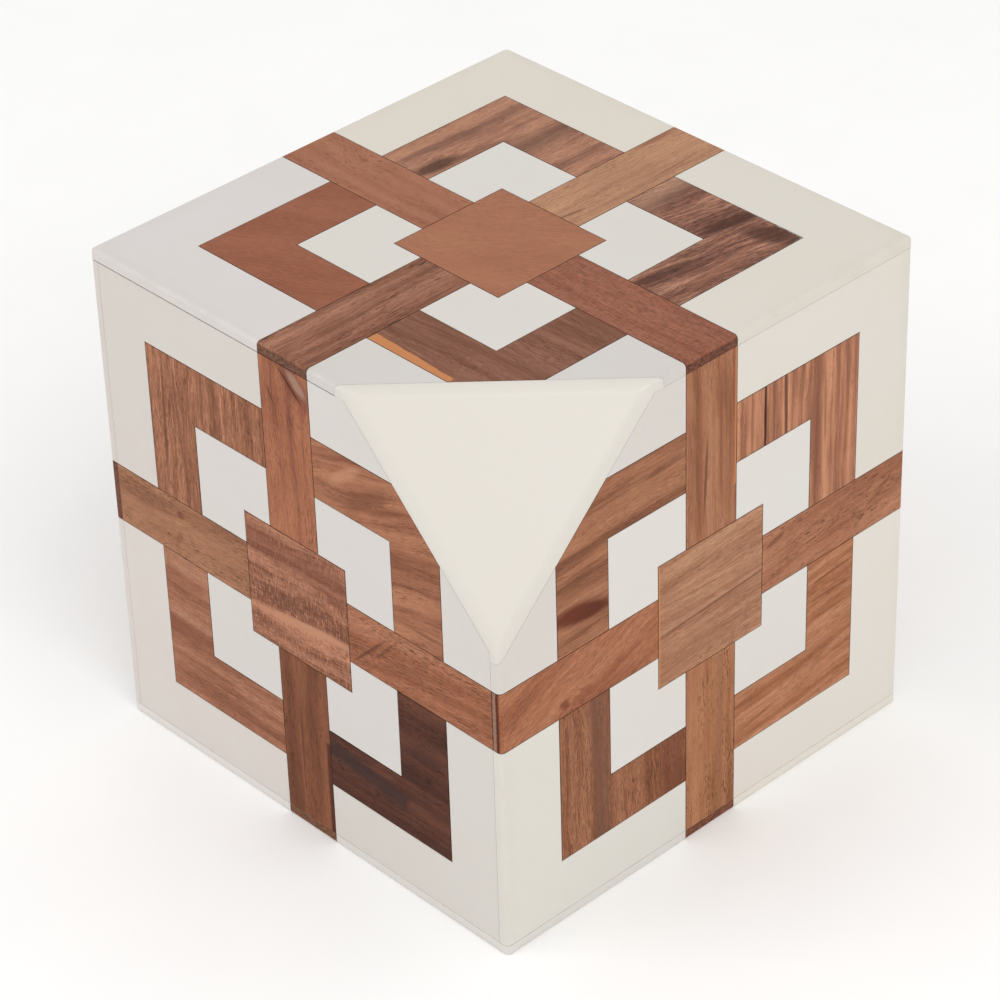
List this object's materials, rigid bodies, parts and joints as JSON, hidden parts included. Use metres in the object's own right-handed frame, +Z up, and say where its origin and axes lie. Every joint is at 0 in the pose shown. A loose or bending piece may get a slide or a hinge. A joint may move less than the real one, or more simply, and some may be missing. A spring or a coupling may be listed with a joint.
{
  "type": "wooden puzzle box",
  "caption": "Cube-shaped wooden puzzle box clad in inlaid resin and hardwood tiles, with one cut corner, a sliding lid and a hidden push-button latch.",
  "frame": {"origin": "centre of the square footprint, on the resting plane", "axes": "+Z up; +X out of the right face, -Y out of the front face; the cut corner is at +X, -Y, +Z; the lid slides towards +Y"},
  "size_m": [0.15, 0.15, 0.15],
  "materials": {
    "hardwood": "satin, open-pored reddish brown hardwood, grain differs from tile to tile",
    "ivory_resin": "sanded smooth ivory resin",
    "cream_resin": "sanded smooth cream resin",
    "carcass_wood": "plain planed board",
    "pale_hardwood": "planed",
    "felt": "felt",
    "screw_brass": "satin",
    "spring_steel": "rolled strip"
  },
  "bodies": {
    "box": {"front_ring_wood": "hardwood", "front_ribbons": "hardwood", "front_centre_tile": "hardwood", "right_ring_wood": "hardwood", "right_ribbons": "hardwood", "right_centre_tile": "hardwood", "back_ring_wood": "hardwood", "back_ribbons": "hardwood", "back_centre_tile": "hardwood", "left_ring_wood": "hardwood", "left_ribbons": "hardwood", "bottom_ring_wood": "hardwood", "bottom_ribbons": "hardwood", "bottom_centre_tile": "hardwood", "front_outer_resin": "ivory_resin", "front_inner_resin": "ivory_resin", "right_outer_resin": "ivory_resin", "right_inner_resin": "ivory_resin", "back_outer_resin": "ivory_resin", "back_inner_resin": "ivory_resin", "left_outer_resin": "ivory_resin", "left_inner_resin": "ivory_resin", "bottom_outer_resin": "ivory_resin", "bottom_inner_resin": "ivory_resin", "facet_plate": "cream_resin", "corner_block": "carcass_wood", "floor_board": "carcass_wood", "left_wall": "carcass_wood", "right_wall": "carcass_wood", "front_wall": "carcass_wood", "back_wall": "carcass_wood", "spring_block": "pale_hardwood", "felt_liner": "felt", "floor_screws": "screw_brass", "latch_screws": "screw_brass", "latch_spring": "spring_steel"},
    "lid": {"lid_outer_resin": "ivory_resin", "lid_ring_wood": "hardwood", "lid_inner_resin": "ivory_resin", "lid_ribbons": "hardwood", "lid_centre_tile": "hardwood", "lid_back_resin": "ivory_resin", "lid_back_ribbon": "hardwood", "lid_board": "carcass_wood", "lid_cleat": "pale_hardwood", "cleat_screws": "screw_brass"},
    "button": {"button_tile": "hardwood", "button_stem": "pale_hardwood", "stem_collar": "screw_brass"}
  },
  "joints": [
    {"name": "lid_slide", "type": "slide", "parent": "box", "child": "lid", "axis": [0, 1, 0], "range_m": [0, 0.102], "deforming": ["latch_spring"]},
    {"name": "button_push", "type": "slide", "parent": "box", "child": "button", "axis": [1, 0, 0], "range_m": [0, 0.0025], "stiffness_N_per_m": 1300, "deforming": ["latch_spring"]}
  ]
}
